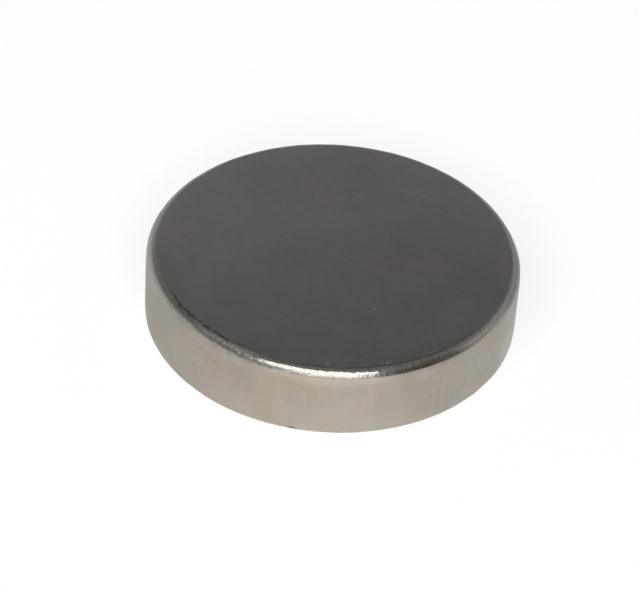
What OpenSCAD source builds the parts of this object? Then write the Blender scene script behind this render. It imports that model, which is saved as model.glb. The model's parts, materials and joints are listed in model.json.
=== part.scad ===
// Disc magnet: one sintered rare-earth disc, ground flat on both faces and
// round on its wall, its two rims rounded by tumbling, then nickel plated.
// The origin is at the middle of the lower face, and the disc's axis is Z.
// All sizes are in millimetres and include the plating.

/* [Disc] */
// Diameter of the disc over its wall
disc_diameter = 14; // [4:0.5:60]
// Thickness of the disc from face to face
disc_thickness = 3; // [1:0.1:30]

/* [Rims] */
// Radius of the round where each flat face meets the wall
rim_radius = 0.25; // [0.05:0.05:0.45]

/* [Hidden] */
// Radius of the disc's wall
disc_radius = disc_diameter / 2;
// Radius of the flat on each face, out to where the rim's round begins
face_radius = disc_radius - rim_radius;
// Straight height of the wall between the two rims
wall_height = disc_thickness - 2 * rim_radius;
// Steps around a full turn
round_steps = 180;

// Half of the disc's section: X runs out from the axis and Y up from the lower face
module disc_section() {
    square([face_radius, disc_thickness]);
    translate([0, rim_radius]) square([disc_radius, wall_height]);
    for (rim_height = [rim_radius, disc_thickness - rim_radius])
        translate([face_radius, rim_height]) circle(r = rim_radius, $fn = round_steps);
}

// The whole magnet, its section turned about Z
module disc_magnet() {
    color([0.55, 0.54, 0.51])
        rotate_extrude($fn = round_steps) disc_section();
}

disc_magnet();
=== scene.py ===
import json
import math

import bpy
import numpy as np
from mathutils import Matrix, Vector


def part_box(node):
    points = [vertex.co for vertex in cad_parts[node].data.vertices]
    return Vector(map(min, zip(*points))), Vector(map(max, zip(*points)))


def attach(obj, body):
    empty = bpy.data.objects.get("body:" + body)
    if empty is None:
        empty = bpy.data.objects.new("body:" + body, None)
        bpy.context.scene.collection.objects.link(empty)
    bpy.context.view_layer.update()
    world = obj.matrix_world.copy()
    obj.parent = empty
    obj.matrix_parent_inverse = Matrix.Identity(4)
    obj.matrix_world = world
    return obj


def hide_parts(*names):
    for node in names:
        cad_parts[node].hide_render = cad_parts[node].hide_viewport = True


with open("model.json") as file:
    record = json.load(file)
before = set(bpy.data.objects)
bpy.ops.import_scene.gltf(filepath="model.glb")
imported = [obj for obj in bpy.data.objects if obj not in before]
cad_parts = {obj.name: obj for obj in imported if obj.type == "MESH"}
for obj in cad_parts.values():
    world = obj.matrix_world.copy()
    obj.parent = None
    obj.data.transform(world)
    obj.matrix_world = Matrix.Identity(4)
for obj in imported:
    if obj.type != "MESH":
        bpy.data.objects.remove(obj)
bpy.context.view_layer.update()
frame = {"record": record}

# ---------------------------------------------------------------------------
# The disc. One sintered rare-earth disc, its faces ground flat and its wall
# ground round, then tumbled until its rims were broken and finely dented, and
# at last nickel plated. It comes from one pressing and has no other piece.
# ---------------------------------------------------------------------------
MM = 0.001
disc_low, disc_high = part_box("disc_magnet")
disc_radius = (disc_high.x - disc_low.x) / 2
disc_thickness = disc_high.z - disc_low.z
wall_mount = next(mount for mount in frame["record"]["mounts"] if mount["name"] == "wall")
wall_height = wall_mount["dims"]["length_mm"] * MM
rim_radius = (disc_thickness - wall_height) / 2

# The upper rim is worn a little wider than it was made, and the lower one, on which
# the disc lies, is a little tighter. From here on, lower comes first and upper second
LOWER_WEAR, UPPER_WEAR = 0.78, 1.18
rim_rise = rim_radius * np.array([LOWER_WEAR, UPPER_WEAR])
wall_half = (disc_thickness - rim_rise.sum()) / 2
wall_middle = rim_rise[0] + wall_half

# Each rim leaves the wall at a clear break, rounds over and meets the face almost
# smoothly. Its tilt is the angle of its outward normal above the level. A rim step is
# square to the mean of the tilts at its ends, and the steps' rises add up to the rim's
WALL_BREAK, FACE_BREAK = math.radians(28), math.radians(6)
RIM_BLEND = 1.7
BREAK_WIDTH = 0.012 * MM
RIM_RINGS = 16
tilt_span = math.pi / 2 - WALL_BREAK - FACE_BREAK
rim_tilt = WALL_BREAK + tilt_span * np.linspace(0, 1, RIM_RINGS + 1) ** RIM_BLEND
rim_tread = (rim_tilt[1:] + rim_tilt[:-1]) / 2
rim_step = rim_rise / np.cos(rim_tread).sum()
rim_in = rim_step[:, None] * np.append(0, np.cumsum(np.sin(rim_tread)))
rim_up = rim_step[:, None] * np.append(0, np.cumsum(np.cos(rim_tread)))
half_rim = rim_step * RIM_RINGS / 2
face_radius = disc_radius - rim_in[1, -1]

# Rings of the mesh on a face and on the wall, and steps round the disc, which are
# unwrapped in a few strips
FACE_RINGS = 12
WALL_RINGS = 16
STRIPS = 3
STRIP_STEPS = 420


def half_section(end):
    """Half of the disc's half section, from one pole to mid wall, the pole left out.

    Face rings lie at radius = face radius * sin(a), so they crowd towards the rim.
    Rim rings lie one rim step apart, and wall rings at height = (1 - cos(a)) of half
    the wall. Returns radius, height from the face, tilt, the distance along the
    section from the middle of the rim, positive towards the face, and half the rim's
    own length. End is 0 below and 1 above.
    """
    inner = disc_radius - rim_in[end, -1]
    sweep = np.linspace(0, np.pi / 2, FACE_RINGS + 1)[1:-1]
    face_r = np.append(inner * np.sin(sweep), inner - BREAK_WIDTH)
    climb = np.linspace(0, np.pi / 2, WALL_RINGS // 2 + 1)[1:]
    wall_z = rim_rise[end] + np.append(BREAK_WIDTH, wall_half * (1 - np.cos(climb)))

    rim_r = disc_radius - rim_in[end, ::-1]
    rim_z = rim_rise[end] - rim_up[end, ::-1]
    radius = np.concatenate([face_r, rim_r, np.full(len(wall_z), disc_radius)])
    height = np.concatenate([np.zeros(len(face_r)), rim_z, wall_z])
    tilt = np.concatenate([np.full(len(face_r), np.pi / 2), rim_tilt[::-1], np.zeros(len(wall_z))])
    along = np.concatenate([
        half_rim[end] + inner - face_r,
        np.linspace(half_rim[end], -half_rim[end], RIM_RINGS + 1),
        rim_rise[end] - half_rim[end] - wall_z,
    ])
    return np.stack([radius, height, tilt, along, np.full(len(radius), half_rim[end])])


def whole_section():
    """The disc's half section from the lower pole to the upper one.

    The two halves meet in one ring at mid wall. Returns radius, height, the outward
    normal's two parts, the distance along the section, half the nearer rim's length
    and 0 or 1 for the side, each as a column.
    """
    low, high = half_section(0), half_section(1)[:, -2::-1]
    radius, height, tilt, along, reach = np.concatenate([low, high], axis=1)
    side = np.repeat([0, 1], [low.shape[1], high.shape[1]])
    height = np.where(side > 0, disc_thickness - height, height)
    out, up = np.cos(tilt), np.where(side > 0, 1, -1) * np.sin(tilt)
    return (column[:, None] for column in (radius, height, out, up, along, reach, side))


def wave_sum(angle, along, side, shortest, longest, fan, count, seed):
    """Smooth random bumps: the sum of plane waves rolled round the rim.

    Each wave is cos(m * angle + q * along + phase) with m a whole number, so that
    the field closes on itself. The wavelengths run from shortest to longest, the
    headings fan out evenly about the section's own direction, and the sum is scaled
    to a spread of one.
    """
    rng = np.random.default_rng(seed)
    length = shortest * (longest / shortest) ** rng.random(count)
    heading = np.pi / 2 + (rng.random(count) - 0.5) * fan
    m = np.round(2 * np.pi / length * np.cos(heading) * disc_radius)
    q = 2 * np.pi / length * np.sin(heading)
    phase = rng.random((2, count)) * 2 * np.pi
    total = np.zeros(np.broadcast(angle, along).shape)
    for i in range(count):
        shift = np.where(side > 0, phase[1, i], phase[0, i])
        total += np.cos(m[i] * angle + q[i] * along + shift)
    return total * math.sqrt(2 / count)


def revolved(name, points):
    """A closed mesh from rings of points, shape (rings, steps, 3), with a vertex at each pole.

    Ring k joins ring k + 1 by quads, and the last step joins the first. The rings run
    from the lower pole to the upper one with angles growing, so faces point outwards.
    """
    rings, steps = points.shape[:2]
    low_pole = [[0, 0, points[0, :, 2].mean()]]
    high_pole = [[0, 0, points[-1, :, 2].mean()]]
    places = np.concatenate([points.reshape(-1, 3), low_pole, high_pole])
    index = np.arange(rings * steps).reshape(rings, steps)
    after = np.roll(index, -1, axis=1)
    quads = np.stack([index[:-1], after[:-1], after[1:], index[1:]], axis=-1)
    low_fan = np.stack([after[0], index[0], np.full(steps, rings * steps)], axis=-1)
    high_fan = np.stack([index[-1], after[-1], np.full(steps, rings * steps + 1)], axis=-1)

    corners = np.concatenate([quads.ravel(), low_fan.ravel(), high_fan.ravel()])
    sizes = np.repeat([4, 3], [(rings - 1) * steps, 2 * steps])
    mesh = bpy.data.meshes.new(name)
    mesh.vertices.add(len(places))
    mesh.vertices.foreach_set("co", places.astype(np.float32).ravel())
    mesh.loops.add(len(corners))
    mesh.loops.foreach_set("vertex_index", corners.astype(np.int32))
    mesh.polygons.add(len(sizes))
    starts = np.concatenate([[0], np.cumsum(sizes)[:-1]])
    mesh.polygons.foreach_set("loop_start", starts.astype(np.int32))
    mesh.polygons.foreach_set("use_smooth", np.ones(len(sizes), bool))
    mesh.update(calc_edges=True)
    mesh.validate()
    return mesh


radius, height, out, up, along, reach, side = whole_section()
angle = np.linspace(0, 2 * np.pi, STRIPS * STRIP_STEPS, endpoint=False)[None, :]

# Tumbling has dented the rims all over. The dents are deepest near the front, where
# the disc was knocked most, and have the calm share of that depth at the back
DENT_DEPTH = 0.0008 * MM
DENT_SHORTEST, DENT_LONGEST = 0.10 * MM, 0.40 * MM
DENT_FAN = math.radians(150)
DENT_WAVES = 64
CALM_SHARE = 0.3
KNOCKED_AT = math.radians(-95)
dented = np.clip(1 - (along / reach) ** 4, 0, 1)
dents = wave_sum(angle, along, side, DENT_SHORTEST, DENT_LONGEST, DENT_FAN, DENT_WAVES, seed=11)
knocked = CALM_SHARE + (1 - CALM_SHARE) * ((1 + np.cos(angle - KNOCKED_AT)) / 2) ** 2
depth = DENT_DEPTH * dents * dented * knocked

# Both edges of each rim wander a little, and take the rim and its surroundings along
WANDER, WANDER_REACH = 0.010 * MM, 0.25 * MM
WANDER_SHORTEST, WANDER_LONGEST = 0.5 * MM, 5.0 * MM
WANDER_WAVES = 16
wander_waves = (WANDER_SHORTEST, WANDER_LONGEST, np.pi, WANDER_WAVES)
face_wander = WANDER * wave_sum(angle, 0 * along, side, *wander_waves, seed=3)
wall_wander = WANDER * wave_sum(angle, 0 * along, side, *wander_waves, seed=4)
facewards = np.clip((reach + along) / (2 * reach), 0, 1) ** 2
wallwards = np.clip((reach - along) / (2 * reach), 0, 1) ** 2
beyond = np.exp(-np.clip(np.abs(along) - reach, 0, None) / WANDER_REACH)
shift_out = face_wander * facewards * beyond
shift_up = wall_wander * wallwards * beyond

# The faces fall off by a few thousandths of a millimetre towards the rims, and the wall
# by two hundredths. Next to its break the wall falls square to the rim there, so that
# the rim keeps its tilt and no facet turns over
FACE_FALL, FACE_FALL_WIDTH = 0.006 * MM, 0.7 * MM
WALL_FALL, WALL_FALL_WIDTH = 0.026 * MM, 0.40 * MM
off_face = np.clip(1 - np.clip(along - reach, 0, None) / FACE_FALL_WIDTH, 0, 1) ** 2
off_wall = np.clip(1 - np.clip(-along - reach, 0, None) / WALL_FALL_WIDTH, 0, 1) ** 2
depth = depth + FACE_FALL * off_face * np.abs(up)
fall_out = np.minimum(out, math.cos(WALL_BREAK))
fall_up = np.where(side > 0, 1, -1) * np.sqrt(1 - fall_out ** 2)
wall_fall = WALL_FALL * off_wall * fall_out ** 2

ring_radius = radius + shift_out - depth * out - wall_fall * fall_out
ring_height = height + shift_up - depth * up - wall_fall * fall_up
points = np.stack([ring_radius * np.cos(angle), ring_radius * np.sin(angle), ring_height], axis=-1)
mesh = revolved("disc", points)
disc = bpy.data.objects.new("disc", mesh)
bpy.context.scene.collection.objects.link(disc)


def lay_out(mesh, points, is_face, side):
    """The disc's UV map: the faces side by side in the lower half of the square, each
    seen from outside at place = middle + (x, y) / width with x turned about below, and
    the wall with its rims in the upper half as level strips, at u = share of the
    strip's steps and v = share of the way along the section.
    """
    rings, steps = points.shape[:2]
    gap = 0.01
    face_width = 2 * disc_radius / (0.5 - 2 * gap)
    flat = points[:, :, :2] / face_width + 0.25
    flat[:, :, 0] = np.where(side > 0, flat[:, :, 0] + 0.5, 0.5 - flat[:, :, 0])
    band = np.flatnonzero(~is_face[:, 0])
    treads = np.linalg.norm(np.diff(points[band, 0], axis=0), axis=1)
    travel = np.concatenate([[0], np.cumsum(treads)])
    share = np.zeros(rings)
    share[band] = travel / travel[-1]
    tall = 0.5 / STRIPS - gap
    strip = np.arange(steps) // STRIP_STEPS
    start = gap + (np.arange(steps) % STRIP_STEPS) / STRIP_STEPS * (1 - 2 * gap)
    step = (1 - 2 * gap) / STRIP_STEPS
    base = 0.5 + gap / 2 + strip * (tall + gap)

    near, far = np.arange(rings - 1), np.arange(1, rings)
    on_band = (near >= band[0]) & (far <= band[-1])
    turned = np.roll(flat, -1, axis=1)
    round_uv = np.stack([flat[near], turned[near], turned[far], flat[far]], axis=2)
    band_v = np.stack([share[near], share[near], share[far], share[far]], axis=1)
    band_uv = np.zeros((rings - 1, steps, 4, 2))
    band_uv[:, :, :, 0] = start[None, :, None] + np.array([0, step, step, 0])
    band_uv[:, :, :, 1] = base[None, :, None] + tall * band_v[:, None, :]
    quad_uv = np.where(on_band[:, None, None, None], band_uv, round_uv)
    low_uv = np.stack([turned[0], flat[0], np.full((steps, 2), 0.25)], axis=1)
    high_uv = np.stack([flat[-1], turned[-1], np.full((steps, 2), [0.75, 0.25])], axis=1)
    layer = mesh.uv_layers.new(name="OFBake")
    every = np.concatenate([quad_uv.reshape(-1, 2), low_uv.reshape(-1, 2), high_uv.reshape(-1, 2)])
    layer.uv.foreach_set("vector", every.astype(np.float32).ravel())


lay_out(mesh, points, along > reach + BREAK_WIDTH / 2, side)


# The plate is one coat of nickel. It is bright on the tumbled rims, duller on the
# ground faces, and satin on the ground wall, where it has a warm, cloudy cast.
def put(tree, kind, feeds=(), **settings):
    """Adds a node with its settings, and feeds its inputs: a socket is linked, a value set."""
    node = tree.nodes.new("ShaderNode" + kind)
    for name, value in settings.items():
        setattr(node, name, value)
    for key, value in dict(feeds).items():
        if isinstance(value, bpy.types.NodeSocket):
            tree.links.new(value, node.inputs[key])
        else:
            node.inputs[key].default_value = value
    return node


def reckon(tree, operation, *terms, clamp=False):
    """The result of one sum, from sockets and numbers."""
    return put(tree, "Math", enumerate(terms), operation=operation, use_clamp=clamp).outputs[0]


def reckon_vector(tree, operation, *terms):
    """The result of one sum on vectors."""
    return put(tree, "VectorMath", enumerate(terms), operation=operation).outputs[0]


def measure(tree, operation, *terms):
    """One number worked out from vectors: a length, a distance or a dot product."""
    return put(tree, "VectorMath", enumerate(terms), operation=operation).outputs["Value"]


def overlap(tree, *masks):
    """Where all of several masks are: their product."""
    total = masks[0]
    for mask in masks[1:]:
        total = reckon(tree, "MULTIPLY", total, mask)
    return total


def smooth_step(tree, value, start, end, low=0.0, high=1.0):
    """Goes smoothly from low, where the value is start, to high, where it is end."""
    feeds = {"Value": value, "From Min": start, "From Max": end, "To Min": low, "To Max": high}
    return put(tree, "MapRange", feeds, interpolation_type="SMOOTHSTEP").outputs[0]


def tint(tree, mask, under, over, blend_type="MIX"):
    """Colours under and over, mixed by a mask."""
    feeds = {0: mask, 6: under, 7: over}
    return put(tree, "Mix", feeds, data_type="RGBA", blend_type=blend_type).outputs[2]


def tone(tree, colour, mask, factors):
    """A colour whose red, green and blue are multiplied by three factors where the mask is."""
    return tint(tree, mask, colour, (*factors, 1), "MULTIPLY")


def open_group(name, takes, gives):
    """A new shader node group with named inputs, each with its first value, and named outputs."""
    group = bpy.data.node_groups.new(name, "ShaderNodeTree")
    for label, first in takes.items():
        kind = "NodeSocketVector" if isinstance(first, tuple) else "NodeSocketFloat"
        group.interface.new_socket(label, in_out="INPUT", socket_type=kind).default_value = first
    for label in gives:
        group.interface.new_socket(label, in_out="OUTPUT", socket_type="NodeSocketFloat")
    ends = group.nodes.new("NodeGroupInput"), group.nodes.new("NodeGroupOutput")
    return group, ends[0].outputs, ends[1].inputs


def use(tree, group, feeds):
    """Places a group in a tree, with its own values, and returns its outputs."""
    return put(tree, "Group", feeds, node_tree=group).outputs


def make_zones():
    """Masks of the face, the wall and the rim, from the distance to the axis and to mid height."""
    tree, given, made = open_group(
        "disc_zones",
        {
            "Vector": (0, 0, 0), "Face Radius": 0.0, "Face Edge": 0.0,
            "Wall Half": 0.0, "Wall Edge": 0.0, "Mid Height": 0.0,
        },
        ("Face", "Wall", "Rim", "Radius", "Off Middle"),
    )
    parts = put(tree, "SeparateXYZ", {0: given["Vector"]}).outputs
    flat = put(tree, "CombineXYZ", {0: parts["X"], 1: parts["Y"]}).outputs[0]
    radius = measure(tree, "LENGTH", flat)
    off = reckon(tree, "ABSOLUTE", reckon(tree, "SUBTRACT", parts["Z"], given["Mid Height"]))
    face = smooth_step(
        tree, radius, reckon(tree, "ADD", given["Face Radius"], given["Face Edge"]),
        reckon(tree, "SUBTRACT", given["Face Radius"], given["Face Edge"]))
    wall = smooth_step(
        tree, off, reckon(tree, "ADD", given["Wall Half"], given["Wall Edge"]),
        reckon(tree, "SUBTRACT", given["Wall Half"], given["Wall Edge"]))
    rim = reckon(tree, "SUBTRACT", reckon(tree, "SUBTRACT", 1.0, face), wall, clamp=True)
    results = {"Face": face, "Wall": wall, "Rim": rim, "Radius": radius, "Off Middle": off}
    for label, value in results.items():
        tree.links.new(value, made[label])
    return tree


CLOUD_ROUGHNESS = 0.55


def make_clouds():
    """Cloudy patches: noise of a size and a stretch, cut to a mask at an edge value."""
    tree, given, made = open_group(
        "clouds",
        {
            "Vector": (0, 0, 0), "Patch": (1, 1, 1), "Shift": 0.0,
            "Edge": 0.5, "Softness": 0.2, "Detail": 3.0,
        },
        ("Mask", "Value"),
    )
    spread = reckon_vector(tree, "DIVIDE", given["Vector"], given["Patch"])
    value = put(tree, "TexNoise", {
        "Vector": spread, "W": given["Shift"], "Scale": 1.0,
        "Detail": given["Detail"], "Roughness": CLOUD_ROUGHNESS,
    }, noise_dimensions="4D").outputs[0]
    mask = smooth_step(
        tree, value, reckon(tree, "SUBTRACT", given["Edge"], given["Softness"]),
        reckon(tree, "ADD", given["Edge"], given["Softness"]))
    tree.links.new(mask, made["Mask"])
    tree.links.new(value, made["Value"])
    return tree


FLECK_CORE, FLECK_SCALE, FLECK_DETAIL = 0.45, 1.3, 2.0


def make_fleck():
    """One speck: 1 at its place, 0 beyond its reach, with a ragged outline."""
    tree, given, made = open_group(
        "fleck",
        {"Vector": (0, 0, 0), "Place": (0, 0, 0), "Reach": (1, 1, 1), "Turn": 0.0, "Ragged": 0.3},
        ("Mask",),
    )
    away = reckon_vector(tree, "SUBTRACT", given["Vector"], given["Place"])
    turned = put(tree, "VectorRotate", {
        "Vector": away, "Axis": (0, 0, 1), "Angle": given["Turn"],
    }, rotation_type="AXIS_ANGLE").outputs[0]
    spread = reckon_vector(tree, "DIVIDE", turned, given["Reach"])
    noise = put(tree, "TexNoise", {
        "Vector": spread, "Scale": FLECK_SCALE, "Detail": FLECK_DETAIL,
    }).outputs[0]
    far = measure(tree, "LENGTH", spread)
    rag = reckon(tree, "MULTIPLY", reckon(tree, "SUBTRACT", noise, 0.5), given["Ragged"])
    mask = smooth_step(tree, reckon(tree, "ADD", far, rag), 1.0, FLECK_CORE)
    tree.links.new(mask, made["Mask"])
    return tree


nickel = bpy.data.materials.new("nickel_plate")
nickel.use_nodes = True
tree = nickel.node_tree
shader = tree.nodes["Principled BSDF"]
place = put(tree, "TexCoord").outputs["Object"]
parts = put(tree, "SeparateXYZ", {0: place}).outputs
zones, clouds, fleck = make_zones(), make_clouds(), make_fleck()

FACE_EDGE, WALL_EDGE = 0.07 * MM, 0.012 * MM
zone = use(tree, zones, {
    "Vector": place, "Mid Height": wall_middle,
    "Face Radius": face_radius, "Face Edge": FACE_EDGE,
    "Wall Half": wall_half, "Wall Edge": WALL_EDGE,
})

WALL_COLOUR = (0.486, 0.450, 0.404, 1)
FACE_COLOUR = (0.393, 0.381, 0.355, 1)
RIM_COLOUR = (0.560, 0.523, 0.470, 1)
colour = tint(tree, zone["Face"], WALL_COLOUR, FACE_COLOUR)
colour = tint(tree, zone["Rim"], colour, RIM_COLOUR)


def cloud(vector, patch_mm, shift, edge=0.5, softness=0.2, detail=3.0):
    """Clouds with patches of a size in millimetres, and with a shift that sets them apart from others."""
    return use(tree, clouds, {
        "Vector": vector, "Patch": [part * MM for part in patch_mm], "Shift": shift,
        "Edge": edge, "Softness": softness, "Detail": detail,
    })


def spot(at, reach_mm, turn, ragged):
    """The mask of one fleck, with its reach along each axis in millimetres."""
    return use(tree, fleck, {
        "Vector": place, "Place": at, "Turn": turn, "Ragged": ragged,
        "Reach": [part * MM for part in reach_mm],
    })["Mask"]


SPECK_RAGGED = 0.5


def speckle(*specks):
    """The strongest of several ragged flecks, each with its place, reach, turn and strength."""
    masks = []
    for at, reach_mm, turn, strength in specks:
        masks.append(reckon(tree, "MULTIPLY", spot(at, reach_mm, turn, SPECK_RAGGED), strength))
    total = masks[0]
    for mask in masks[1:]:
        total = reckon(tree, "MAXIMUM", total, mask)
    return total


def on_face(x, y):
    """A place on the upper face, in shares of the disc's radius."""
    return (x * disc_radius, y * disc_radius, disc_thickness)


def on_wall(azimuth, level):
    """A place on the wall, at an azimuth from the front in degrees and a share of the thickness."""
    turned = math.radians(azimuth)
    return (disc_radius * math.sin(turned), -disc_radius * math.cos(turned), level * disc_thickness)


def on_rim(azimuth, level):
    """A place on the upper rim, which lies inside the wall by the rim's inset at that height."""
    inset = np.interp(level * disc_thickness, disc_thickness - rim_rise[1] + rim_up[1], rim_in[1])
    x, y, z = on_wall(azimuth, level)
    inwards = 1 - inset / disc_radius
    return (x * inwards, y * inwards, z)


# Fine marks that cross the rims, from a place that is rolled out flat round the edge.
# They are strongest at the front
FIBRE_TONE = (0.70, 0.70, 0.70)
BACK_Y, FRONT_Y, BACK_SHARE = -0.35, -0.95, 0.25
round_x = reckon(tree, "MULTIPLY", reckon(tree, "DIVIDE", parts["X"], zone["Radius"]), disc_radius)
round_y = reckon(tree, "MULTIPLY", reckon(tree, "DIVIDE", parts["Y"], zone["Radius"]), disc_radius)
across = reckon(tree, "SUBTRACT", zone["Radius"], zone["Off Middle"])
rolled = put(tree, "CombineXYZ", {0: round_x, 1: round_y, 2: across}).outputs[0]
fibres = cloud(rolled, patch_mm=(0.09, 0.09, 0.15), shift=13.0, edge=0.53, softness=0.14, detail=4.0)
y_share = reckon(tree, "DIVIDE", parts["Y"], disc_radius)
frontwards = smooth_step(tree, y_share, BACK_Y, FRONT_Y, BACK_SHARE, 1.0)
fibre_rim = overlap(tree, fibres["Mask"], zone["Rim"], frontwards)
colour = tone(tree, colour, fibre_rim, FIBRE_TONE)

# The rim is a little warmer next to the wall, and cooler away from the front
WALLSIDE_TONE, ASIDE_TONE = (1.02, 1.00, 0.955), (0.950, 1.015, 1.020)
WALLSIDE_NEAR, WALLSIDE_FAR = 0.05 * MM, 0.20 * MM
wallside = smooth_step(tree, zone["Off Middle"], wall_half + WALLSIDE_FAR, wall_half + WALLSIDE_NEAR)
wallside_rim = overlap(tree, wallside, zone["Rim"])
colour = tone(tree, colour, wallside_rim, WALLSIDE_TONE)
aside = overlap(tree, reckon(tree, "SUBTRACT", 1.0, frontwards), zone["Rim"])
colour = tone(tree, colour, aside, ASIDE_TONE)

# Warm and grey clouds on the wall, where the plate has yellowed or dulled
WARM_TONE, GREY_TONE = (1.01, 0.965, 0.885), (0.935, 0.948, 0.935)
warm = cloud(place, patch_mm=(1.5, 1.5, 1.3), shift=4.0, edge=0.53, softness=0.15)
colour = tone(tree, colour, overlap(tree, warm["Mask"], zone["Wall"]), WARM_TONE)
grey = cloud(place, patch_mm=(2.0, 2.0, 1.8), shift=6.0, edge=0.52, softness=0.14)
colour = tone(tree, colour, overlap(tree, grey["Mask"], zone["Wall"]), GREY_TONE)

# Wide patches where the wall, a rim or the face is warmer, cooler, paler or darker than the rest:
# each has its place, its reach in millimetres, its turn, how ragged it is, and its tone. Most are
# painted light and shade, standing for brighter or darker surroundings seen in the metal; the rest are
# casts
# On the wall: a warm cast at the front, and cool casts at the left and low at the front; painted light at
# the right end and along the top, a painted glow under the highlight, and painted shade at the left and
# low at the front right
WALL_CASTS_AND_PAINTED_SHADING = (
    (on_wall(-1.1, 0.66), (4.0, 3.0, 2.1), 0.0, 0.7, (1.020, 0.990, 0.955)),
    (on_wall(84.0, 0.50), (5.8, 5.8, 5.8), 0.0, 0.7, (1.120, 1.150, 1.190)),
    (on_wall(86.0, 0.50), (2.7, 2.7, 5.8), 0.0, 0.5, (1.120, 1.125, 1.140)),
    (on_wall(-36.9, 0.50), (5.0, 5.0, 5.0), 0.0, 0.7, (0.955, 0.955, 0.955)),
    (on_wall(-72.0, 0.50), (3.2, 3.2, 5.0), 0.0, 0.5, (1.005, 1.045, 1.050)),
    (on_wall(-0.6, 0.90), (3.2, 3.2, 0.50), 0.0, 0.4, (1.170, 1.175, 1.200)),
    (on_wall(-4.0, 0.905), (3.0, 3.0, 0.18), 0.0, 0.4, (1.110, 1.110, 1.110)),
    (on_wall(2.0, 0.20), (2.8, 2.8, 0.95), 0.0, 0.6, (1.020, 1.040, 1.060)),
    (on_wall(23.0, 0.84), (1.8, 1.8, 0.70), 0.0, 0.5, (1.070, 1.080, 1.110)),
    (on_wall(-35.0, 0.88), (1.8, 1.8, 0.45), 0.0, 0.5, (1.065, 1.075, 1.115)),
    (on_wall(-77.0, 0.88), (1.8, 1.8, 0.40), 0.0, 0.5, (1.080, 1.090, 1.110)),
    (on_wall(84.0, 0.26), (3.0, 3.0, 1.30), 0.0, 0.3, (1.080, 1.080, 1.080)),
    (on_wall(20.0, 0.26), (2.3, 2.3, 0.95), 0.0, 0.5, (0.975, 0.962, 0.943)),
)
# On the rim: stretches of painted light and shade round it, among them a painted glow under the highlight
# and a dark strip painted under its left half, and a painted glint at the highlight's right end
RIM_PAINTED_SHADING = (
    (on_wall(-20.0, 0.932), (1.5, 1.5, 0.08), 0.0, 0.3, (0.680, 0.680, 0.690)),
    (on_wall(-9.0, 0.905), (1.6, 1.6, 0.09), 0.0, 0.3, (1.220, 1.220, 1.220)),
    (on_wall(55.0, 0.925), (2.2, 2.2, 0.13), 0.0, 0.4, (1.220, 1.230, 1.230)),
    (on_wall(82.0, 0.925), (2.4, 2.4, 0.17), 0.0, 0.4, (0.850, 0.850, 0.860)),
    (on_wall(-32.0, 0.915), (2.3, 2.3, 0.12), 0.0, 0.3, (1.160, 1.165, 1.175)),
    (on_wall(-48.0, 0.960), (2.0, 2.0, 0.09), 0.0, 0.3, (0.900, 0.900, 0.885)),
    (on_wall(-43.0, 0.994), (4.6, 4.6, 0.075), 0.0, 0.2, (1.120, 1.110, 1.105)),
    (on_rim(14.4, 0.948), (0.22, 0.22, 0.07), 0.0, 0.4, (1.400, 1.400, 1.400)),
)
# On the face: painted light at its back, left, right and front, and a band of painted shade at its left
# edge
FACE_PAINTED_SHADING = (
    (on_face(-0.62, 0.55), (8.4, 5.8, 0.5), 0.6, 0.8, (1.080, 1.080, 1.080)),
    (on_face(0.66, 0.62), (4.8, 3.6, 0.5), 0.7, 0.8, (1.105, 1.105, 1.105)),
    (on_face(-0.84, -0.16), (2.6, 3.4, 0.5), 0.0, 0.7, (1.060, 1.060, 1.060)),
    (on_face(-0.88, -0.33), (0.9, 2.6, 0.5), -0.38, 0.5, (0.940, 0.940, 0.920)),
    (on_face(0.95, 0.00), (0.6, 3.0, 0.5), 0.0, 0.5, (1.090, 1.085, 1.075)),
    (on_face(0.04, -0.94), (3.2, 0.7, 0.5), -0.04, 0.5, (1.080, 1.070, 1.055)),
)
painted_tables = ((WALL_CASTS_AND_PAINTED_SHADING, zone["Wall"]), (RIM_PAINTED_SHADING, zone["Rim"]), (FACE_PAINTED_SHADING, zone["Face"]))
for patches, zone_mask in painted_tables:
    for at, reach_mm, turn, ragged, factors in patches:
        painted_patch = spot(at, reach_mm, turn, ragged)
        colour = tone(tree, colour, overlap(tree, painted_patch, zone_mask), factors)

# Fine and broad upright streaks on the wall, fainter to the left. The broad ones come
# and go in wide stretches
FINE_TONE, BROAD_TONE = (0.965, 0.965, 0.962), (0.945, 0.955, 0.940)
LEFT_X, RIGHT_X, LEFT_SHARE = -0.7, 0.2, 0.3
fine = cloud(place, patch_mm=(0.12, 0.12, 2.4), shift=7.0, softness=0.24)
broad = cloud(place, patch_mm=(0.45, 0.45, 6.0), shift=8.0, edge=0.55, softness=0.12, detail=1.0)
x_share = reckon(tree, "DIVIDE", parts["X"], disc_radius)
streaked = overlap(tree, smooth_step(tree, x_share, LEFT_X, RIGHT_X, LEFT_SHARE, 1.0), zone["Wall"])
fine_wall = overlap(tree, fine["Mask"], streaked)
stretches = cloud(place, patch_mm=(4.0, 4.0, 8.0), shift=12.0, edge=0.52, softness=0.10)
broad_wall = overlap(tree, broad["Mask"], streaked, stretches["Mask"])
colour = tone(tree, colour, fine_wall, FINE_TONE)
colour = tone(tree, colour, broad_wall, BROAD_TONE)

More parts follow.
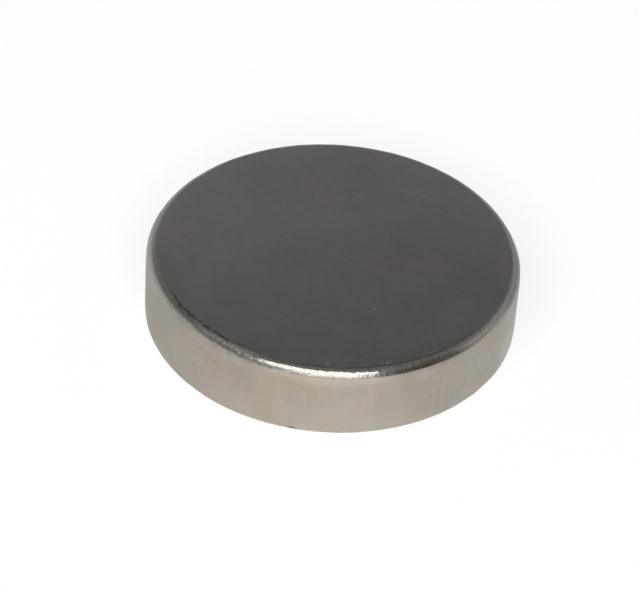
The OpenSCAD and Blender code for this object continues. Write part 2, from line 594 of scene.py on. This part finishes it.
# On the faces, haze in wide clouds, a faint warm blush, and a fine mottle
HAZE_TONE, BLUSH_TONE, MOTTLE_TONE = (1.07, 1.065, 1.07), (1.015, 0.990, 0.975), (1.060, 1.046, 1.036)
haze = cloud(place, patch_mm=(2.8, 2.8, 2.8), shift=1.0, softness=0.22)
hazed = overlap(tree, haze["Mask"], zone["Face"])
colour = tone(tree, colour, hazed, HAZE_TONE)
blush = cloud(place, patch_mm=(2.0, 2.0, 2.0), shift=14.0, softness=0.14)
colour = tone(tree, colour, overlap(tree, blush["Mask"], zone["Face"]), BLUSH_TONE)
mottle = cloud(place, patch_mm=(0.30, 0.30, 0.30), shift=17.0, softness=0.14)
colour = tone(tree, colour, overlap(tree, mottle["Mask"], zone["Face"]), MOTTLE_TONE)

# A thin, broken darker line along the face's edge. It is strongest at the left
# front and faint elsewhere
EDGE_LINE_TONE = (0.45, 0.43, 0.41)
EDGE_LINE_INSET, EDGE_LINE_RAG = 0.055 * MM, 0.08 * MM
EDGE_LINE_OUTER, EDGE_LINE_INNER = 0.125 * MM, 0.055 * MM
FAINT_SHARE = 0.3
STRONG_LINE_AT = (-0.70 * face_radius, -0.71 * face_radius, disc_thickness)
faint = cloud(place, patch_mm=(2.4, 2.4, 6.0), shift=16.0, edge=0.58, softness=0.08)
strong_line = spot(STRONG_LINE_AT, reach_mm=(2.6, 2.6, 1.0), turn=0.0, ragged=0.5)
edge_lined = reckon(tree, "MULTIPLY_ADD", faint["Mask"], FAINT_SHARE, strong_line, clamp=True)
rags = cloud(place, patch_mm=(0.17, 0.17, 0.17), shift=3.0, softness=0.10)
from_edge = reckon(tree, "ABSOLUTE", reckon(tree, "SUBTRACT", zone["Radius"], face_radius - EDGE_LINE_INSET))
uneven = reckon(tree, "MULTIPLY_ADD", rags["Mask"], EDGE_LINE_RAG, from_edge)
line = smooth_step(tree, uneven, EDGE_LINE_OUTER, EDGE_LINE_INNER)
colour = tone(tree, colour, overlap(tree, line, edge_lined), EDGE_LINE_TONE)

# Light and dark specks, a painted glint on the left of the rim, a short scratch on the face and a
# small stain low on the wall, each with its place, its reach in millimetres, its turn and its strength
pale_specks_and_glint = speckle(
    (on_face(0.00, 0.575), (0.10, 0.07, 0.5), 0.0, 0.15),
    (on_face(0.12, 0.500), (0.09, 0.08, 0.5), 0.5, 0.15),
    (on_face(0.17, -0.235), (0.10, 0.05, 0.5), 0.0, 0.10),
    (on_face(0.00, -0.930), (0.07, 0.09, 0.5), 0.0, 0.35),
    (on_face(0.31, -0.890), (0.05, 0.12, 0.5), 0.3, 0.50),
    (on_face(0.23, -0.463), (0.16, 0.04, 0.5), 0.1, 0.45),
    # A painted glint: a bright point of light on the rim, left of the highlight
    (on_rim(-27.4, 0.962), (0.09, 0.09, 0.06), 0.0, 0.45),
)
dark = speckle(
    (on_face(-0.06, 0.275), (0.10, 0.07, 0.5), 0.0, 0.20),
    (on_face(-0.25, -0.556), (0.42, 0.035, 0.5), 0.5, 0.25),
    (on_face(0.165, -0.260), (0.14, 0.10, 0.5), 0.0, 0.08),
    (on_wall(-43, 0.44), (0.08, 0.08, 0.07), 0.0, 0.30),
    (on_wall(-35, 0.68), (0.08, 0.08, 0.06), 0.0, 0.20),
)
stain = speckle(
    (on_wall(-9.3, 0.056), (0.21, 0.21, 0.13), 0.0, 0.75),
    (on_wall(-7.9, 0.042), (0.12, 0.12, 0.07), 0.0, 0.60),
)

# A darker smudge under the right of the rim, which is painted shade with a brownish stain in it,
# and flaky scuffs and scratches on the rim on both sides of its front
SHADE_AND_STAIN_TONE, SCUFF_TONE, SCRATCH_TONE = (0.92, 0.90, 0.86), (1.75, 1.75, 1.75), (1.75, 1.72, 1.68)
WHOLE_SHARE = 0.25
shaded_stain_smudge = speckle((on_wall(34, 0.92), (2.4, 2.4, 0.28), 0.0, 1.0))
colour = tone(tree, colour, shaded_stain_smudge, SHADE_AND_STAIN_TONE)
scuff = speckle(
    (on_wall(-34, 0.995), (2.0, 2.0, 0.13), 0.0, 0.9),
    (on_wall(-2, 0.915), (3.4, 3.4, 0.16), 0.0, 0.35),
)
scuff = overlap(tree, scuff, zone["Rim"])
flakes = cloud(rolled, patch_mm=(0.10, 0.10, 0.10), shift=15.0, edge=0.56, softness=0.10, detail=2.0)
partly = reckon(tree, "MULTIPLY_ADD", flakes["Mask"], 1 - WHOLE_SHARE, WHOLE_SHARE)
colour = tone(tree, colour, overlap(tree, partly, scuff), SCUFF_TONE)
scratched = speckle((on_wall(23, 0.945), (2.3, 2.3, 0.17), 0.0, 0.55))
colour = tone(tree, colour, overlap(tree, scratched, zone["Rim"], flakes["Mask"]), SCRATCH_TONE)

SPECK_AND_GLINT_COLOUR, DARK_COLOUR = (0.80, 0.77, 0.74, 1), (0.12, 0.115, 0.10, 1)
STAIN_COLOUR = (0.16, 0.15, 0.07, 1)
colour = tint(tree, pale_specks_and_glint, colour, SPECK_AND_GLINT_COLOUR)
colour = tint(tree, dark, colour, DARK_COLOUR)
colour = tint(tree, stain, colour, STAIN_COLOUR)
tree.links.new(colour, shader.inputs["Base Color"])

# Roughness of each zone, with what haze, light specks, the glint and scuffs add. The rims are
# rougher away from the front
WALL_ROUGH, FACE_ROUGH, RIM_ROUGH, SIDE_ROUGH = 0.56, 0.21, 0.15, 0.29
HAZE_ROUGH, SPECK_ROUGH, SCUFF_ROUGH = 0.05, 0.45, 0.22
SPECULAR_TINT = (0.55, 0.55, 0.55, 1)
rough = reckon(tree, "MULTIPLY", zone["Face"], FACE_ROUGH)
rim_rough = smooth_step(tree, frontwards, BACK_SHARE, 1.0, SIDE_ROUGH, RIM_ROUGH)
roughened = (
    (zone["Rim"], rim_rough), (zone["Wall"], WALL_ROUGH),
    (hazed, HAZE_ROUGH), (pale_specks_and_glint, SPECK_ROUGH), (scuff, SCUFF_ROUGH),
)
for mask, amount in roughened:
    rough = reckon(tree, "MULTIPLY_ADD", mask, amount, rough)
tree.links.new(rough, shader.inputs["Roughness"])
shader.inputs["Metallic"].default_value = 1.0
shader.inputs["Specular Tint"].default_value = SPECULAR_TINT

# Relief: a fine grain on the faces, streaks on the wall, and nicks across the rims
GRAIN_RELIEF, STREAK_RELIEF, NICK_RELIEF = 0.10, 0.5, 2.2
RELIEF_DEPTH = 0.002 * MM
grain = cloud(place, patch_mm=(0.07, 0.07, 0.07), shift=2.0, detail=2.0)
nicks = cloud(rolled, patch_mm=(0.06, 0.06, 0.16), shift=5.0, detail=2.0)
relief = overlap(tree, grain["Value"], zone["Face"], GRAIN_RELIEF)
relief = reckon(tree, "MULTIPLY_ADD", fine_wall, STREAK_RELIEF, relief)
relief = reckon(tree, "MULTIPLY_ADD", overlap(tree, nicks["Value"], zone["Rim"]), NICK_RELIEF, relief)
bump = put(tree, "Bump", {"Height": relief, "Distance": RELIEF_DEPTH}).outputs[0]
tree.links.new(bump, shader.inputs["Normal"])
mesh.materials.append(nickel)

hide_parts("disc_magnet")
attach(disc, "root")

# ---------------------------------------------------------------------------
# The stage. A pale paper sweep that curls up far out all round, a pale horizon
# that darkens overhead, one broad soft light, and a dark card beside it.
# ---------------------------------------------------------------------------
SWEEP_FLAT, SWEEP_CURL = 0.6, 0.25
SWEEP_STEPS, CURL_RINGS, CURL_END = 96, 13, 75
around = np.linspace(0, 2 * np.pi, SWEEP_STEPS, endpoint=False)[None, :]
curl = np.radians(np.linspace(0, CURL_END, CURL_RINGS + 1))[1:, None]
flat_rings = np.array([[0.02], [0.08], [0.3], [SWEEP_FLAT]])
sweep_r = np.concatenate([flat_rings, SWEEP_FLAT + SWEEP_CURL * np.sin(curl)])
sweep_z = np.concatenate([0 * flat_rings, SWEEP_CURL * (1 - np.cos(curl))])
sweep_points = np.stack([
    sweep_r * np.cos(around),
    sweep_r * np.sin(around),
    sweep_z + 0 * around,
], axis=-1)
rings, steps = sweep_points.shape[:2]
index = np.arange(rings * steps).reshape(rings, steps)
after = np.roll(index, -1, axis=1)
quads = np.stack([index[:-1], index[1:], after[1:], after[:-1]], axis=-1).reshape(-1, 4)
fan = np.stack([np.full(steps, rings * steps), index[0], after[0]], axis=-1)
sweep_mesh = bpy.data.meshes.new("sweep")
sweep_mesh.from_pydata(
    np.append(sweep_points.reshape(-1, 3), [[0, 0, 0]], axis=0).tolist(),
    [],
    quads.tolist() + fan.tolist(),
)
sweep = bpy.data.objects.new("sweep", sweep_mesh)
bpy.context.scene.collection.objects.link(sweep)

# The paper glows by an even lift where it is seen itself. In the disc its glow is painted light:
# bright close by and dimmer farther out, dimmest at the right, with one brighter spot at the front
PAPER_COLOUR = (0.81, 0.80, 0.79, 1)
PAPER_LIFT, FAR_LIFT, FAR_LEAN, FRONT_LIFT = 0.66, 0.175, 0.135, 0.14
NEAR_PAPER, FAR_PAPER = 0.010, 0.028
FRONT_AT, FRONT_CORE, FRONT_EDGE = (0.0, -0.0105, 0.0), 0.003, 0.008
paper = bpy.data.materials.new("pale_paper")
paper.use_nodes = True
tree = paper.node_tree
shader = tree.nodes["Principled BSDF"]
shader.inputs["Base Color"].default_value = PAPER_COLOUR
shader.inputs["Roughness"].default_value = 1.0
shader.inputs["Specular IOR Level"].default_value = 0.0
path = put(tree, "LightPath").outputs
paper_at = put(tree, "TexCoord").outputs["Object"]
paper_x = put(tree, "SeparateXYZ", {0: paper_at}).outputs["X"]
from_middle = measure(tree, "LENGTH", paper_at)
from_front = measure(tree, "DISTANCE", paper_at, FRONT_AT)
rightwards = reckon(tree, "DIVIDE", paper_x, from_middle)
far_lift = reckon(tree, "MULTIPLY_ADD", rightwards, -FAR_LEAN, FAR_LIFT)
mirrored_glow = smooth_step(tree, from_middle, NEAR_PAPER, FAR_PAPER, PAPER_LIFT, far_lift)
front_glow_spot = smooth_step(tree, from_front, FRONT_CORE, FRONT_EDGE, FRONT_LIFT, 0.0)
mirrored_glow = reckon(tree, "ADD", mirrored_glow, front_glow_spot)
lift = reckon(tree, "MULTIPLY", path["Is Glossy Ray"], mirrored_glow)
lift = reckon(tree, "MULTIPLY_ADD", path["Is Camera Ray"], PAPER_LIFT, lift)
shader.inputs["Emission Color"].default_value = (1, 1, 1, 1)
tree.links.new(lift, shader.inputs["Emission Strength"])
sweep_mesh.materials.append(paper)


def heading(azimuth, elevation=0.0):
    """The unit vector towards an azimuth a from the front and an elevation e, in degrees:
    (sin a * cos e, -cos a * cos e, sin e).
    """
    a, e = math.radians(azimuth), math.radians(elevation)
    return Vector((math.sin(a) * math.cos(e), -math.cos(a) * math.cos(e), math.sin(e)))


# The room: pale at the horizon, darker overhead, and dimmer towards the right and the
# back. Three dark places are each at an azimuth and an elevation in degrees, and take
# a share of the light away
HORIZON, OVERHEAD, NARROWING = 0.64, 0.19, 3.5
ROOM_COLOUR = (0.99, 1.0, 1.03, 1)
DIMMING = (-0.185, -0.10, 0.0)
DARK_PLACES = ((162, 57, 0.52), (-126, 37, 0.57), (-60, 42, 0.50))
DARK_CORE, DARK_EDGE = math.radians(7), math.radians(32)
world = bpy.data.worlds.new("studio")
bpy.context.scene.world = world
world.use_nodes = True
tree = world.node_tree
background = tree.nodes["Background"]
toward = put(tree, "TexCoord").outputs["Generated"]
rise = put(tree, "SeparateXYZ", {0: toward}).outputs["Z"]
steep = reckon(tree, "MULTIPLY", reckon(tree, "MULTIPLY", rise, rise), -NARROWING)
pale = reckon(tree, "MULTIPLY_ADD", reckon(tree, "EXPONENT", steep), HORIZON - OVERHEAD, OVERHEAD)
dimmed = measure(tree, "DOT_PRODUCT", toward, DIMMING)
level = reckon(tree, "MULTIPLY", pale, reckon(tree, "ADD", dimmed, 1.0))
for azimuth, elevation, dark_share in DARK_PLACES:
    nearness = measure(tree, "DOT_PRODUCT", toward, heading(azimuth, elevation))
    shade = smooth_step(tree, nearness, math.cos(DARK_EDGE), math.cos(DARK_CORE), 1.0, 1 - dark_share)
    level = reckon(tree, "MULTIPLY", level, shade)
tree.links.new(level, background.inputs["Strength"])
background.inputs["Color"].default_value = ROOM_COLOUR

# The light: one broad soft box over the front, rolled a little
KEY_WIDE, KEY_TALL, KEY_AWAY, KEY_RADIANCE = 0.48, 0.24, 0.45, 1.95
KEY_AZIMUTH, KEY_ELEVATION, KEY_ROLL = -6.5, 39.5, math.radians(-18)
key = bpy.data.lights.new("key", "AREA")
key.shape = "RECTANGLE"
key.size, key.size_y = KEY_WIDE, KEY_TALL
key.energy = KEY_RADIANCE * math.pi * KEY_WIDE * KEY_TALL
key_lamp = bpy.data.objects.new("key", key)
bpy.context.scene.collection.objects.link(key_lamp)
key_from = heading(KEY_AZIMUTH, KEY_ELEVATION)
facing = (-key_from).to_track_quat("-Z", "Y").to_matrix() @ Matrix.Rotation(KEY_ROLL, 3, "Z")
key_lamp.matrix_world = Matrix.Translation(key_from * KEY_AWAY) @ facing.to_4x4()
key_lamp.visible_camera = False

# The card: felt on a flat board at the front right. Its felt is painted darkest low down and a
# little off its middle, and paler upwards and towards its sides: painted shade and light
CARD_WIDE, CARD_TALL, CARD_AWAY, CARD_AZIMUTH = 0.21, 0.50, 0.24, 54.5
SHADED_FELT, LIT_FELT = (0.23, 0.23, 0.23, 1), (0.47, 0.47, 0.47, 1)
DARK_OFFSET = 0.015
SIDE_FADE_START, SIDE_FADE_END = 0.015, 0.100
RISE_FADE_START, RISE_FADE_END = 0.06, 0.19
card_out = heading(CARD_AZIMUTH)
card_side = Vector((0, 0, 1)).cross(card_out)
card_foot = card_out * CARD_AWAY
card_mesh = bpy.data.meshes.new("card")
card_mesh.from_pydata([
    card_foot - card_side * CARD_WIDE / 2,
    card_foot + card_side * CARD_WIDE / 2,
    card_foot + card_side * CARD_WIDE / 2 + Vector((0, 0, CARD_TALL)),
    card_foot - card_side * CARD_WIDE / 2 + Vector((0, 0, CARD_TALL)),
], [], [(0, 1, 2, 3)])
card = bpy.data.objects.new("card", card_mesh)
bpy.context.scene.collection.objects.link(card)
card.visible_camera = False
felt = bpy.data.materials.new("dark_felt")
felt.use_nodes = True
tree = felt.node_tree
shader = tree.nodes["Principled BSDF"]
felt_at = put(tree, "TexCoord").outputs["Object"]
felt_rise = put(tree, "SeparateXYZ", {0: felt_at}).outputs["Z"]
felt_side = measure(tree, "DOT_PRODUCT", felt_at, card_side)
off_centre = reckon(tree, "ABSOLUTE", reckon(tree, "ADD", felt_side, DARK_OFFSET))
side_fade = smooth_step(tree, off_centre, SIDE_FADE_START, SIDE_FADE_END)
rise_fade = smooth_step(tree, felt_rise, RISE_FADE_START, RISE_FADE_END)
felt_lit_share = reckon(tree, "MAXIMUM", rise_fade, side_fade)
painted_felt_shading = tint(tree, felt_lit_share, SHADED_FELT, LIT_FELT)
tree.links.new(painted_felt_shading, shader.inputs["Base Color"])
shader.inputs["Roughness"].default_value = 1.0
card_mesh.materials.append(felt)

# ---------------------------------------------------------------------------
# The camera. A long lens, some eight of the disc's diameters away, looks down
# on it. It is rolled a little, and aimed a little off the disc's middle.
# ---------------------------------------------------------------------------
SENSOR_WIDTH, FOCAL_LENGTH = 36.0, 168.75
NEAR_CLIP, FAR_CLIP = 0.005, 5.0
CAMERA_ELEVATION, CAMERA_ROLL = 38.999, math.radians(3.874)
CAMERA_AWAY, CAMERA_SLIDE, CAMERA_LIFT = 8.057, -0.032, -0.037
camera = bpy.data.cameras.new("camera")
camera.sensor_width = SENSOR_WIDTH
camera.lens = FOCAL_LENGTH
camera.clip_start, camera.clip_end = NEAR_CLIP, FAR_CLIP
back = heading(0, CAMERA_ELEVATION)
level_right = Vector((1, 0, 0))
level_top = back.cross(level_right)
right = level_right * math.cos(CAMERA_ROLL) + level_top * math.sin(CAMERA_ROLL)
top = back.cross(right)
camera_object = bpy.data.objects.new("camera", camera)
bpy.context.scene.collection.objects.link(camera_object)
disc_diameter = 2 * disc_radius
middle = (disc_low + disc_high) / 2
camera_at = middle + back * (CAMERA_AWAY * disc_diameter)
camera_at = camera_at + right * (CAMERA_SLIDE * disc_diameter) + top * (CAMERA_LIFT * disc_diameter)
camera_object.matrix_world = Matrix((
    (right.x, top.x, back.x, camera_at.x),
    (right.y, top.y, back.y, camera_at.y),
    (right.z, top.z, back.z, camera_at.z),
    (0, 0, 0, 1),
))
bpy.context.scene.camera = camera_object
bpy.context.scene.view_settings.view_transform = "Standard"
